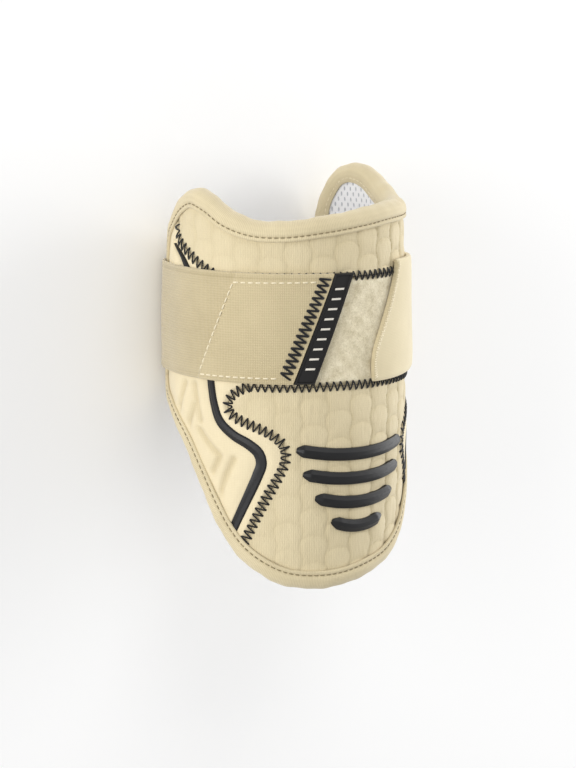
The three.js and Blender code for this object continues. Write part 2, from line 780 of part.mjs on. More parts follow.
function addRibs() {
  ribs.forEach(({ half }, i) => {
    const level = ribLevel - i * ribPitch;
    const bow = (share) => ribBow * (1 - share * share);
    const points = ribShares.map((share) => new THREE.Vector2(share * half * wrapHalf, level - bow(share)));
    const outline = stripOutline(linePoints(points, ribSteps), ribWidth, ribTaper);
    const rib = slabSolid(outline, clearance, clearance + ribHeight);
    addPiece("grip_rib_" + (i + 1), bentToWall(rib, 0), blackRubber);
  });
}

addQuiltedPanels();
addSidePanel(-1);
addSidePanel(1);
addLining();
addBinding();
addStrap();
addRibs();

// The guard lies on its free edges with its front up and its upper end towards +Y.
guard.rotation.x = -Math.PI / 2;
const lying = new THREE.Group().add(guard);
const bounds = new THREE.Box3().setFromObject(lying, true);
const middle = bounds.getCenter(new THREE.Vector3());
guard.position.set(-middle.x, -middle.y, -bounds.min.z);

export default lying;
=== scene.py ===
import math
import bpy
import numpy as np
from mathutils import Matrix, Vector


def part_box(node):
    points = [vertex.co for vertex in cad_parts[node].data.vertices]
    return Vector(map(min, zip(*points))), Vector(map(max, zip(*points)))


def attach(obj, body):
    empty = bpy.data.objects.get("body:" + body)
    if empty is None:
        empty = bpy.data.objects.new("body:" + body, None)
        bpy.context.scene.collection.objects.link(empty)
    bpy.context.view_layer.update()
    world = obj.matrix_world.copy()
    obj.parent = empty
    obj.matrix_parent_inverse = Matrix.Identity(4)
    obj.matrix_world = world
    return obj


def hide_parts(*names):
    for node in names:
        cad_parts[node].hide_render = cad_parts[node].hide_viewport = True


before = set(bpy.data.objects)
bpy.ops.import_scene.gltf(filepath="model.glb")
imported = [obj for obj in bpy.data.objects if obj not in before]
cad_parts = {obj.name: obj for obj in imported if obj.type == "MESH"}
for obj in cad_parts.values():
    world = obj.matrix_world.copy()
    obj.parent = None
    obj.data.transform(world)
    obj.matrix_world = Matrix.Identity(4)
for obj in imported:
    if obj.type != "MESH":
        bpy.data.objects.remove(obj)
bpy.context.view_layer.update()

# The guard is laid out flat, as its pattern is cut, and bent round the arm. Flat points are along (round the
# arm from the front centre line, plus to the wearer's right), up (along the arm, 0 at the strap's lower edge)
# and out (away from the arm, 0 at the wall's outer face). All is in millimetres until it is bent.
wall = {
    "radius": 56.8,
    "wrapHalf": 127.5,
    "crownHeight": 43.5,
    "lobeDrop": 97.5,
    "barrelDrop": 2.3,
    "barrelReach": 104,
    "barrelLevel": -10,
    "padding": 6.5,
    "underBinding": 4.7,  # how far in from the rim the panels start
    "seamGap": 0.15,
}
strap = {
    "width": 50.8,
    "thickness": 1.8,
    "clearance": 0.4,
    "rise": 2.5,
    "ramp": 14,
    "edgeLift": 1.6,
    "tabStart": 6.9,
    "tabLength": 80,
    "tabThickness": 2.4,
    "labelFoot": -33.2,
    "labelWidth": 9.4,
    "labelLean": 19.2,
    "labelThickness": 2.6,
    "waves": (0.28, 42),  # height and length of its soft unevenness
}
binding = {
    "width": 9.1,
    "outerFace": 1.3,
    "innerFace": -9.3,
    "noseRadius": 5.4,
    "flapStart": 5.5,  # how far in from the rim its outer flap lies flat
    "swell": (0.18, 23, 0),  # height, length and shift of the roll's slow and quick unevenness
    "ripple": (0.12, 9.7, 1),
    "pull": 0.22,  # how far the stitches draw the flap in, and how wide
    "pullReach": 1.1,
    "stitchInset": 7.1,
    "stitchPitch": 3.0, "stitchLength": 2.1,
    "stitchHeights": (0.55, 0.95),
    "insideHeights": (-8.9, -9.35),
    "thread": 0.26, "insideThread": 0.208,
    "step": 0.9,
}

# The rim as shares: along of wrapHalf, rise of crownHeight above the strap, drop of lobeDrop below it
rimTop = [
    (-0.955, 0.43), (-0.881, 0.59), (-0.795, 0.77), (-0.703, 0.86), (-0.6, 0.784), (-0.51, 0.645),
    (-0.41, 0.56), (-0.3, 0.547), (-0.16, 0.588), (0.02, 0.65), (0.16, 0.69), (0.35, 0.7), (0.51, 0.71),
    (0.607, 0.815), (0.7, 0.95), (0.8, 1.0), (0.877, 0.94), (0.935, 0.78), (0.978, 0.56),
]
rimBottom = [
    (0.955, 0.185), (0.86, 0.25), (0.73, 0.31), (0.6, 0.4), (0.47, 0.545), (0.363, 0.705), (0.29, 0.81),
    (0.17, 0.91), (0.053, 0.96), (-0.08, 0.995), (-0.199, 0.999), (-0.3, 0.98), (-0.3945, 0.927),
    (-0.48, 0.848), (-0.55, 0.743), (-0.61, 0.62), (-0.674, 0.477), (-0.7545, 0.335), (-0.868, 0.218),
    (-0.955, 0.15),
]
edgeUps = [-0.1, 0.15, 0.5, 0.85, 1.12]  # points on the free edges, as shares of the strap's width
lobeSeam = [
    (-0.43, 0.018), (-0.475, 0.045), (-0.505, 0.085), (-0.51, 0.125), (-0.49, 0.16), (-0.44, 0.19),
    (-0.39, 0.215), (-0.335, 0.252), (-0.297, 0.3), (-0.29, 0.355), (-0.305, 0.42), (-0.363, 0.555),
    (-0.424, 0.71), (-0.5, 0.9),
]
crownSeam = [(-0.8, 0.9), (-0.812, 0.47), (-0.805, 0.335), (-0.72, 0.175), (-0.63, 0.045), (-0.56, -0.044)]


def crownPoints(rows):
    return [(along * wall["wrapHalf"], strap["width"] + rise * wall["crownHeight"]) for along, rise in rows]


def lobePoints(rows):
    return [(along * wall["wrapHalf"], -drop * wall["lobeDrop"]) for along, drop in rows]


def runOf(line):  # how far along a line each of its points lies
    return np.concatenate([[0], np.cumsum(np.linalg.norm(np.diff(line, axis=0), axis=1))])


def valuesAt(marks, line, values):  # what a line's two values are at marks along its run
    return np.stack([np.interp(marks, runOf(line), values[:, k]) for k in (0, 1)], -1)


def smoothLine(points, closed=False, step=0.5):  # an evenly stepped curve through the points
    points = np.array(points, float)
    if closed:
        ring = np.vstack([points[-1], points, points[:2]])
    else:
        ring = np.vstack([2 * points[0] - points[1], points, 2 * points[-1] - points[-2]])
    t = np.linspace(0, 1, 40, endpoint=False)[:, None]
    spans = []
    for before, start, end, after in zip(ring, ring[1:], ring[2:], ring[3:]):
        first, middle, last = (math.sqrt(np.linalg.norm(b - a)) for a, b in
                               [(before, start), (start, end), (end, after)])
        slope = (end - start) / middle
        leave = middle * ((start - before) / first - (end - before) / (first + middle) + slope)
        arrive = middle * (slope - (after - start) / (middle + last) + (after - end) / last)
        spans.append(start + leave * t + (3 * (end - start) - 2 * leave - arrive) * t**2
                     + (2 * (start - end) + leave + arrive) * t**3)
    dense = np.vstack(spans + [points[:1] if closed else points[-1:]])
    length = runOf(dense)[-1]
    marks = np.linspace(0, length, max(2, round(length / step)) + 1)
    return valuesAt(marks[:-1] if closed else marks, dense, dense)


def mirrored(line):
    return line * np.array([-1, 1])


def onSide(line, side):  # a line of the left half, on the side asked for
    return line if side < 0 else mirrored(line)


def sideways(line, closed=False):  # unit normals of a flat line, to the right of its run
    if closed:
        run = np.roll(line, -1, 0) - np.roll(line, 1, 0)
    else:
        run = np.gradient(line, axis=0)
    run = run / np.linalg.norm(run, axis=1)[:, None]
    return np.stack([run[:, 1], -run[:, 0]], 1)


freeEdge = [(wall["wrapHalf"], up * strap["width"]) for up in edgeUps]
rimLine = smoothLine(
    [(-along, up) for along, up in freeEdge] + crownPoints(rimTop) + freeEdge[::-1] + lobePoints(rimBottom),
    closed=True, step=binding["step"])
rimNormal = sideways(rimLine, closed=True)
lobeSeamLine = smoothLine(lobePoints(lobeSeam))
crownSeamLine = smoothLine(crownPoints(crownSeam))
panelRim = rimLine + rimNormal * wall["underBinding"]


def rimSpans(values, axis):  # where the panels' rim crosses each column (axis 0) or row (axis 1)
    spans = []
    other = panelRim[:, 1 - axis]
    for value in values:
        here = panelRim[:, axis] - value
        there = np.roll(here, -1)
        cut = (here < 0) != (there < 0)
        share = here[cut] / (here[cut] - there[cut])
        found = other[cut] + share * (np.roll(other, -1)[cut] - other[cut])
        spans.append((found.min(), found.max()) if len(found) else (math.nan, math.nan))
    return np.array(spans).T


def barrel(up):
    return wall["radius"] - wall["barrelDrop"] * ((up - wall["barrelLevel"]) / wall["barrelReach"]) ** 2


# The strap's loop: round the wall to the binding's roll, round a corner there, and straight across the back
beadMiddle = (binding["outerFace"] + binding["innerFace"]) / 2
beadRadius = (binding["outerFace"] - binding["innerFace"]) / 2
beadAlong = wall["wrapHalf"] - beadRadius
beadAngle = beadAlong / wall["radius"]
cornerRadius = strap["edgeLift"] - beadMiddle
cornerLength = (math.pi - beadAngle) * (cornerRadius + strap["thickness"] / 2)
backHalf = (wall["radius"] + beadMiddle) * math.sin(beadAngle)
loopHalf = beadAlong + cornerLength + backHalf
loopLength = 2 * loopHalf

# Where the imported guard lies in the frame
labelReach = barrel(0) + strap["clearance"] + strap["labelThickness"]
footX = -labelReach * math.sin(-strap["labelFoot"] / wall["radius"])
backY = -(barrel(0) + beadMiddle) * math.cos(beadAngle) + cornerRadius + strap["thickness"]
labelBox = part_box("rubber_label")
shift = np.array([labelBox[0].x * 1000 - footX, labelBox[0].y * 1000, backY])


def placed(x, y, up):
    return np.stack([x + shift[0], up + shift[1], shift[2] - y], -1) / 1000


def onWall(along, up, out):
    angle = along / wall["radius"]
    reach = barrel(up) + out
    return placed(reach * np.sin(angle), -reach * np.cos(angle), up + 0 * angle)


def strapLift(along):
    rampEnd = wall["wrapHalf"] - binding["width"]
    share = np.clip((along - rampEnd + strap["ramp"]) / strap["ramp"], 0, 1)
    return strap["clearance"] + (strap["edgeLift"] - strap["clearance"]) * share * share * (3 - 2 * share)


def onStrap(along, up, out):  # along runs once round the strap's loop, out is 0 at its inner face
    farHalf = along > loopHalf
    along = np.where(farHalf, loopLength - along, along)
    angle = along / wall["radius"]
    reach = barrel(up) + strapLift(along) + out
    wallX, wallY = reach * np.sin(angle), -reach * np.cos(angle)
    ringX = (barrel(up) + beadMiddle) * math.sin(beadAngle)
    ringY = -(barrel(up) + beadMiddle) * math.cos(beadAngle)
    turn = beadAngle + np.clip((along - beadAlong) / cornerLength, 0, 1) * (math.pi - beadAngle)
    cornerX = ringX + (cornerRadius + out) * np.sin(turn)
    cornerY = ringY - (cornerRadius + out) * np.cos(turn)
    acrossX = ringX * np.clip((loopHalf - along) / backHalf, 0, 1)
    onRing = along <= beadAlong
    onCorner = along <= beadAlong + cornerLength
    x = np.where(onRing, wallX, np.where(onCorner, cornerX, acrossX))
    y = np.where(onRing, wallY, np.where(onCorner, cornerY, ringY + cornerRadius + out))
    return placed(np.where(farHalf, -x, x), y, up)


class Value:  # one socket of a material, so that sums on it read as sums
    def __init__(self, finish, socket):
        self.finish = finish
        self.socket = socket

    def math(self, operation, *others):
        sockets = dict(enumerate([self, *others]))
        return self.finish.add("ShaderNodeMath", {"operation": operation}, sockets)

    def __add__(self, other):
        return self.math("ADD", other)

    __radd__ = __add__

    def __mul__(self, other):
        return self.math("MULTIPLY", other)

    __rmul__ = __mul__

    def __sub__(self, other):
        return self.math("SUBTRACT", other)

    def __rsub__(self, other):
        return self.finish.add("ShaderNodeMath", {"operation": "SUBTRACT"}, {0: other, 1: self})

    def __truediv__(self, other):
        return self.math("DIVIDE", other)


class Finish:  # a material and the nodes that make it
    def __init__(self, name, **constants):
        self.material = bpy.data.materials.new(name)
        self.material.use_nodes = True
        self.tree = self.material.node_tree
        self.tree.nodes.clear()
        self.shader = self.tree.nodes.new("ShaderNodeBsdfPrincipled")
        for socket, value in constants.items():
            self.shader.inputs[socket.replace("_", " ")].default_value = value
        output = self.tree.nodes.new("ShaderNodeOutputMaterial")
        self.tree.links.new(self.shader.outputs[0], output.inputs[0])

    def add(self, kind, settings=None, sockets=None, output=0):
        node = self.tree.nodes.new(kind)
        for key, value in (settings or {}).items():
            if key == "stops":
                while len(node.color_ramp.elements) < len(value):
                    node.color_ramp.elements.new(1)
                for element, (place, color) in zip(node.color_ramp.elements, value):
                    element.position = place
                    element.color = color
            else:
                setattr(node, key, value)
        for key, value in (sockets or {}).items():
            self.plug(node.inputs[key], value)
        return Value(self, node.outputs[output])

    def plug(self, socket, value):
        if isinstance(value, Value):
            self.tree.links.new(value.socket, socket)
        else:
            socket.default_value = value

    def set(self, socket, value):
        self.plug(self.shader.inputs[socket], value)

    def flat(self):  # the flat point that each place on the cloth comes from, stored on the mesh
        return self.add("ShaderNodeAttribute", {"attribute_name": "flat"}, output=1)

    def part(self, name):
        return self.add("ShaderNodeSeparateXYZ", {}, {0: self.flat()}, output=["along", "up"].index(name))

    def relief(self):  # a shade stored on the mesh, low in the creases
        return self.add("ShaderNodeAttribute", {"attribute_name": "relief"}, output=2)

    def noise(self, scale, detail=2.0, roughness=0.5, stretch=None):  # scale in bumps to the millimetre
        place = self.flat()
        if stretch:
            place = self.add("ShaderNodeVectorMath", {"operation": "MULTIPLY"}, {0: place, 1: stretch})
        return self.add("ShaderNodeTexNoise", {}, {
            "Vector": place, "Scale": scale, "Detail": detail, "Roughness": roughness})

    def waves(self, place, pitch):  # 0 to 1 and back once in every pitch
        return (place * (2 * math.pi / pitch)).math("SINE") * 0.5 + 0.5

    def tint(self, share, first, second):
        return self.add("ShaderNodeMix", {"data_type": "RGBA"}, {0: share, 6: first, 7: second}, output=2)

    def bump(self, height, depth):  # depth in millimetres
        self.set("Normal", self.add("ShaderNodeBump", {}, {
            "Distance": depth / 1000, "Height": height}))


def rgb(*color):  # a screen colour as the shader wants it
    return (*(((c / 255 + 0.055) / 1.055) ** 2.4 if c > 10 else c / 255 / 12.92 for c in color), 1)


def clothFinish(name, peak, valley, rib, row, depth, rough=0.85, weave=0.2, upright=0.6, fraying=0.35,
                sheen=0.35, puckers=0.0):
    cloth = Finish(name, Sheen_Weight=sheen, Sheen_Roughness=0.45, Specular_IOR_Level=0.25)
    fray = cloth.noise(0.9, 3)
    ribs = cloth.waves(cloth.part("along") + fray * fraying, rib)
    rows = cloth.waves(cloth.part("up") + cloth.noise(0.7, 2) * 0.4, row)
    knit = ribs * upright + rows * (1 - upright)
    mottle = cloth.noise(0.035, 4, 0.6)
    # painted shade from the relief attribute, plus mottled tone and the knit's pattern, sets how far the
    # colour runs from valley to peak
    shade = cloth.relief() + (mottle - 0.5) * 0.5 + (knit - 0.5) * weave
    shade = shade.math("MINIMUM", 1.0).math("MAXIMUM", 0.0)
    cloth.set("Base Color", cloth.tint(shade, rgb(*valley), rgb(*peak)))
    cloth.set("Roughness", knit * -0.12 + (rough + 0.05))
    height = knit + cloth.noise(2.2, 2) * 0.5
    if puckers:  # long soft wrinkles that run with the ribs
        height = height + cloth.noise(0.22, 2, 0.5, stretch=(1, 0.4, 1)) * (puckers / depth)
    cloth.bump(height, depth)
    return cloth.material


# peak is the cloth's open colour; painted shade in creases and seams, and the darker knit and mottle, take it
# toward valley
cloths = {  # pitch of the ribs and rows and depth of the weave in millimetres
    "quilted cloth": {
        "peak": (224, 210, 175), "valley": (170, 154, 114), "rib": 0.85, "row": 1.05, "depth": 0.1,
        "upright": 0.85, "fraying": 0.9, "weave": 0.24, "puckers": 0.6},
    "smooth cloth": {
        "peak": (232, 218, 184), "valley": (178, 162, 122), "rib": 0.8, "row": 0.8, "depth": 0.05,
        "rough": 0.8, "puckers": 0.3},
    "tab cloth": {
        "peak": (222, 209, 174), "valley": (172, 157, 120), "rib": 0.7, "row": 0.7, "depth": 0.06,
        "rough": 0.82},
    "binding cloth": {
        "peak": (221, 207, 172), "valley": (164, 148, 109), "rib": 0.8, "row": 2.4, "depth": 0.11,
        "upright": 0.85, "weave": 0.34},
    "elastic": {
        "peak": (205, 190, 153), "valley": (138, 122, 85), "rib": 0.8, "row": 1.15, "depth": 0.2,
        "rough": 0.9, "weave": 0.34, "sheen": 0.6},
}
quiltedCloth, smoothCloth, tabCloth, bindingCloth, elasticCloth = (
    clothFinish(name, **look) for name, look in cloths.items())


def loopFinish():
    pile = Finish("loop pile", Sheen_Weight=0.6, Sheen_Roughness=0.4, Specular_IOR_Level=0.15)
    fuzz = pile.noise(1.3, 6, 0.75)
    patch = pile.noise(0.2, 4, 0.7)
    # painted shade from the relief attribute, darker by the seams, plus random fuzz and patches of tone
    shade = pile.relief() + (fuzz - 0.5) * 0.9 + (patch - 0.5) * 1.3
    stops = [(0.0, rgb(170, 155, 118)), (0.5, rgb(206, 193, 158)), (1.0, rgb(246, 236, 208))]
    pile.set("Base Color", pile.add("ShaderNodeValToRGB", {"stops": stops}, {"Fac": shade - 0.06}))
    pile.set("Roughness", fuzz * 0.1 + 0.9)
    pile.bump(fuzz + patch * 0.8, 0.55)
    return pile.material


def rubberFinish(name, dark, light, rough):
    rubber = Finish(name, Specular_IOR_Level=0.4)
    grain = rubber.noise(3.5, 4, 0.6)
    dust = rubber.noise(0.12, 3)
    rubber.set("Base Color", rubber.tint(dust * 0.6 + grain * 0.3, dark, light))
    rubber.set("Roughness", grain * 0.16 + dust * 0.12 + (rough - 0.12))
    rubber.bump(grain, 0.02)
    return rubber.material


def threadFinish(name, dark, light):
    thread = Finish(name, Sheen_Weight=0.2, Specular_IOR_Level=0.3)
    twist = thread.waves(thread.part("along") + thread.part("up") * 1.3, 0.5)
    thread.set("Base Color", thread.tint(twist, dark, light))
    thread.set("Roughness", twist * -0.15 + 0.75)
    thread.bump(twist, 0.05)
    return thread.material


def liningFinish():
    mesh = Finish("lining mesh", Sheen_Weight=0.15, Specular_IOR_Level=0.25)
    hole = {"pitch": 4.4, "row": 2.6, "wide": 0.55, "tall": 1.0, "size": 0.16, "sharpness": 6.0}
    far = 400  # keeps every place above zero
    row = (mesh.part("up") / hole["row"]).math("FLOOR")
    stagger = row.math("MODULO", 2.0) * (hole["pitch"] / 2)
    inCell = ((mesh.part("along") + stagger + far) / hole["pitch"]).math("FRACT") - 0.5
    inRow = ((mesh.part("up") + far * hole["row"]) / hole["row"]).math("FRACT") - 0.5
    x = inCell * (hole["pitch"] / hole["wide"])
    y = inRow * (hole["row"] / hole["tall"])
    away = (x * x + y * y).math("MINIMUM", 4.0) / 4.0
    solid = ((away - hole["size"]) * hole["sharpness"]).math("MINIMUM", 1.0).math("MAXIMUM", 0.0)
    knit = mesh.waves(mesh.part("along") + mesh.part("up"), 0.9)
    # the holes are tinted grey: painted shade where the mesh is open
    mesh.set("Base Color", mesh.tint(solid * (0.86 + knit * 0.14), rgb(202, 204, 210), rgb(252, 252, 254)))
    mesh.set("Roughness", knit * 0.1 + 0.8)
    mesh.bump(solid + knit * 0.3, 0.35)
    return mesh.material


loopPile = loopFinish()
blackRubber = rubberFinish("black rubber", rgb(9, 9, 10), rgb(24, 24, 26), 0.4)
labelRubber = rubberFinish("label rubber", rgb(13, 12, 12), rgb(29, 27, 26), 0.46)
paleRubber = rubberFinish("pale rubber", rgb(214, 208, 196), rgb(232, 227, 216), 0.55)
blackThread = threadFinish("black thread", rgb(5, 5, 6), rgb(22, 21, 21))
tanThread = threadFinish("tan thread", rgb(112, 98, 68), rgb(160, 145, 111))
paleThread = threadFinish("pale thread", rgb(214, 200, 166), rgb(252, 242, 216))
liningMesh = liningFinish()
print("finishes made")


def makePiece(name, points, faces, flat, material, node=None, slot=None, relief=None, sharp=35):
    mesh = bpy.data.meshes.new(name)
    mesh.from_pydata(points.reshape(-1, 3).tolist(), [], [list(map(int, face)) for face in faces])
    flats = mesh.attributes.new("flat", "FLOAT_VECTOR", "POINT")
    flats.data.foreach_set("vector", flat.astype(np.float32).ravel())
    # the relief argument and the relief attribute hold painted shade, low where a piece paints its creases,
    # grooves and seams darker
    shade = np.full(len(mesh.vertices), 0.8) if relief is None else relief.ravel()
    mesh.attributes.new("relief", "FLOAT", "POINT").data.foreach_set("value", shade.astype(np.float32))
    mesh.validate()
    mesh.materials.append(material)
    mesh.shade_smooth()
    mesh.set_sharp_from_angle(angle=math.radians(sharp))
    piece = bpy.data.objects.new(name, mesh)
    bpy.context.scene.collection.objects.link(piece)
    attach(piece, "root")
    if node:
        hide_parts(node)
    return piece


def gridFaces(rows, columns, first=0, flip=False):
    corner = first + np.arange(rows * columns).reshape(rows, columns)
    quads = np.stack([corner[:-1, :-1], corner[:-1, 1:], corner[1:, 1:], corner[1:, :-1]], -1).reshape(-1, 4)
    return quads[:, ::-1] if flip else quads


def rowGrid(rows, start, end, columns):  # flat points, row by row from one edge to the other
    share = np.linspace(0, 1, columns)[None]
    return start[:, None] + (end - start)[:, None] * share, np.repeat(rows[:, None], columns, 1)


def columnGrid(columns, low, high, rows):  # the same from a lower edge to an upper one
    share = np.linspace(0, 1, rows)[:, None]
    return np.repeat(columns[None], rows, 0), low[None] + (high - low)[None] * share


def slabMesh(along, up, outer, inner, bend, shade=0.8):
    # a closed slab over a grid of flat points, from its outer face in to its inner face
    rows, columns = along.shape
    count = rows * columns
    ring = np.concatenate([np.arange(columns), np.arange(1, rows) * columns + columns - 1,
                           np.arange(columns - 2, -1, -1) + (rows - 1) * columns,
                           np.arange(rows - 2, 0, -1) * columns])
    after = np.roll(ring, -1)
    rim = np.stack([ring, ring + count, after + count, after], -1)
    faces = np.vstack([gridFaces(rows, columns), gridFaces(rows, columns, count, flip=True), rim])
    inner = np.broadcast_to(inner, along.shape)
    points = np.concatenate([bend(along, up, outer).reshape(-1, 3), bend(along, up, inner).reshape(-1, 3)])
    flat = np.concatenate([np.stack([along, up, out], -1).reshape(-1, 3) for out in (outer, inner)])
    shade = np.broadcast_to(shade, along.shape).ravel()
    return points, faces, flat, np.concatenate([shade, shade])


def slabPiece(name, along, up, outer, inner, bend, material, shade=0.8, beside=None, **names):
    points, faces, flat, shade = slabMesh(along, up, outer, inner, bend, shade)
    if beside:  # a second slab that belongs to the piece
        faces = np.vstack([faces, beside[1] + len(points)])
        points, flat, shade = (np.concatenate(pair) for pair in
                               [(points, beside[0]), (flat, beside[2]), (shade, beside[3])])
    return makePiece(name, points, faces, flat, material, relief=shade, **names)


def paddedPanel(name, along, up, relief, material, shade, fill, **others):
    piece = slabPiece(name, along, up, relief, -wall["padding"], onWall, material, shade, **others)


def distanceTo(along, up, line):
    points = np.stack([along.ravel(), up.ravel()], 1)
    nearest = np.full(len(points), np.inf)
    atOnce = 60  # points of the line, to spare memory
    for start in range(0, len(line), atOnce):
        gap = np.linalg.norm(points[:, None] - line[None, start:start + atOnce], axis=2).min(1)
        nearest = np.minimum(nearest, gap)
    return nearest.reshape(along.shape)


def ease(value, low, high):
    share = np.clip((value - low) / (high - low), 0, 1)
    return share * share * (3 - 2 * share)


def strays(along, up, height, size, seed):  # soft unevenness, the same on each run
    draw = np.random.default_rng(seed)
    total = np.zeros(np.shape(along))
    for _ in range(7):
        heading = draw.uniform(0, math.pi)
        length = size * draw.uniform(0.7, 1.8)
        place = np.cos(heading) * along + np.sin(heading) * up
        total = total + np.sin(2 * math.pi * place / length + draw.uniform(0, 6.3))
    return height * total / 4


quilt = {
    "cell": 12.3,
    "row": 13.0,
    "depth": 1.3,
    "faint": 0.3,  # how much of the depth is left on the wearer's left
    "bulge": 0.06,  # how far a cell swells into its neighbours, as a share of its width
    "bulgeUp": 0.14,  # how far above its middle it is widest, as a share of its height
    "arch": 0.2,  # how far its top's corners are rounded off, as a share of its height
    "slope": 0.24,  # how much lower its foot lies than its top, where the next cell laps over it
    "rows": 0.62,  # depth of the creases between a column's cells, as a share of those between columns
    "lowerShift": -4.7,
    "seamDip": 0.75,
    "seamReach": 2.6,
    "waves": (0.25, 34, 3),  # height, length and seed of soft unevenness, as in the pieces below
    "step": 0.6,
    "lobeColumns": 190, "crownColumns": 340, "crownRows": 56,
    "crownReach": 103.2,  # where the upper panel ends in points, under the binding
    "seamTop": 66.5,  # it follows the crown's seams up to here
}


def quiltHeight(along, up, shift):  # 0 in the creases to 1 on the pillows, like scales in staggered columns
    place = (along - shift) / quilt["cell"]
    swell = quilt["bulge"] * np.cos(2 * math.pi * (up / quilt["row"] - quilt["bulgeUp"]))

    def creaseAt(number):
        return number + swell * np.where(number % 2 == 0, -1, 1)

    nearest = np.round(place)
    column = np.where(place > creaseAt(nearest), nearest, nearest - 1)
    start, end = creaseAt(column), creaseAt(column + 1)
    across = np.abs(2 * (place - start) / (end - start) - 1)
    height = up / quilt["row"] + 0.5 * (column % 2) + 0.5 + quilt["arch"] * across**2.6
    height = height - np.floor(height)
    pillow = np.sqrt(1 - np.minimum(across, 1) ** 3.2)
    crease = 1 - np.sqrt(1 - np.abs(2 * height - 1) ** 4)
    return pillow * (1 - quilt["rows"] * crease) * (1 - quilt["slope"] * (1 - height) ** 1.5)


def quiltedPanel(name, along, up, seams, shift, node):
    crease = 1 - quiltHeight(along, up, shift)
    nearSeam = distanceTo(along, up, np.vstack(seams))
    dip = 1 - ease(nearSeam, 0.2, quilt["seamReach"])
    strength = quilt["faint"] + (1 - quilt["faint"]) * ease(along, -55, 50)
    relief = -quilt["depth"] * strength * crease * (1 - 0.7 * dip) - quilt["seamDip"] * dip
    relief = relief + strays(along, up, *quilt["waves"])
    # painted shade: darker in the creases between the cells, more so toward the right, and in the dips along
    # the seams
    shade = np.clip(0.8 - 0.46 * strength * crease - 0.2 * dip, 0, 1)
    paddedPanel(name, along, up, relief, quiltedCloth, shade, 0.8, node=node, slot="quilted_cloth")


def seamAt(line, value, axis):  # a seam's other coordinate where it crosses a column or a row
    order = np.argsort(line[:, axis])
    return np.interp(value, line[order, axis], line[order, 1 - axis])


seamLow = lobeSeamLine[0, 1]
seamHigh = crownSeamLine[-1, 1]


def lobeGrid():
    rows = np.arange(panelRim[:, 1].min() + 0.3, seamLow - wall["seamGap"], quilt["step"])
    low, high = rimSpans(rows, 1)
    seam = seamAt(lobeSeamLine, rows, 1) + wall["seamGap"]
    return rowGrid(rows, np.maximum(seam, low), np.minimum(-seam, high), quilt["lobeColumns"])


def crownGrid():
    columns = np.linspace(-quilt["crownReach"], quilt["crownReach"], quilt["crownColumns"])
    seam = crownSeamLine[crownSeamLine[:, 1] < quilt["seamTop"]]
    low = np.where(np.abs(columns) > abs(seam[-1, 0]), seamAt(seam, -np.abs(columns), 0), seamHigh)
    return columnGrid(columns, low + wall["seamGap"], rimSpans(columns, 0)[1], quilt["crownRows"])


quiltedPanel("lowerQuiltedPanel", *lobeGrid(), [lobeSeamLine, mirrored(lobeSeamLine)],
             quilt["lowerShift"], "lower_quilted_panel")
quiltedPanel("upperQuiltedPanel", *crownGrid(), [crownSeamLine, mirrored(crownSeamLine)], 0,
             "upper_quilted_panel")
print("quilted panels made")

sides = {
    "grooveDepth": 1.5,
    "grooveReach": 1.7,
    "grooveFade": (3.8, 8),  # the grooves fade out before the binding
    "crowning": 0.7,
    "channel": 0.9,  # depth of the channel that the inlay lies in
    "inlayHalf": 2.2,
    "waves": (0.3, 30, 11),
    "lowest": -74.0,
    "inward": -40,  # the rim's points beyond this are the side's own
    "step": 0.7,
    "columns": 96,
    # along as shares of wrapHalf and drop as shares of lobeDrop, from each groove's start to its end
    "grooves": [
        [(-0.72, 0.03), (-0.745, 0.1), (-0.775, 0.17)],
        [(-0.665, 0.03), (-0.655, 0.1), (-0.635, 0.2)],
        [(-0.665, 0.13), (-0.685, 0.18), (-0.705, 0.23)],
        [(-0.64, 0.245), (-0.6, 0.295), (-0.54, 0.36)],
        [(-0.54, 0.36), (-0.555, 0.4), (-0.575, 0.44)],
        [(-0.482, 0.37), (-0.52, 0.47), (-0.552, 0.57)],
    ],
}
inlay = {
    "widths": [(0, 0.5), (0.1, 3.6), (0.5, 4.2), (0.72, 5.4), (0.86, 4.8), (1, 4.5)],  # by share of length
    # steps across, as shares of half its width, and out
    "profile": [(-1, -0.8), (-1, 0.0), (-0.7, 0.55), (0.05, 0.6), (0.6, -0.05), (1, -0.15), (1, -0.8)],
    "top": [(-0.83, 0.235), (-0.76, 0.1), (-0.7, -0.1)],
    "bottom": [(-0.6, -0.15), (-0.582, 0.03), (-0.57, 0.11), (-0.545, 0.19), (-0.487, 0.254), (-0.425, 0.295),
               (-0.388, 0.335), (-0.378, 0.385), (-0.392, 0.44), (-0.43, 0.548), (-0.51, 0.76)],
}
inlayLine = smoothLine(crownPoints(inlay["top"]) + lobePoints(inlay["bottom"]), step=0.6)
band = {  # the wall under the strap: the left panel's tongue and the loop panel
    "step": 0.8,
    "tongueColumns": 60, "loopColumns": 120,
    "seamDip": 0.6,
    "seamReach": 2.4,
    "loopWaves": (0.2, 26, 5),
}
bandRows = np.arange(seamLow + wall["seamGap"], seamHigh - wall["seamGap"], band["step"])


def bandEdge(up):  # the line between the feet of the two seams, under the strap
    return np.interp(up, [seamLow, seamHigh], [lobeSeamLine[0, 0], crownSeamLine[-1, 0]])


def labelMiddle(up):  # the label's middle line, under which the tongue meets the loop panel
    return strap["labelFoot"] + strap["labelWidth"] / 2 + up / strap["width"] * strap["labelLean"]


def nearBandSeam(up):
    return np.minimum(up - seamLow, seamHigh - up)


def bandRelief(up):
    return -band["seamDip"] * (1 - ease(nearBandSeam(up), 0.2, band["seamReach"]))


def leftTongue():  # the left panel reaches on under the strap to the label
    end = labelMiddle(bandRows) - wall["seamGap"]
    along, up = rowGrid(bandRows, bandEdge(bandRows), end, band["tongueColumns"])
    return slabMesh(along, up, bandRelief(up), -wall["padding"], onWall)


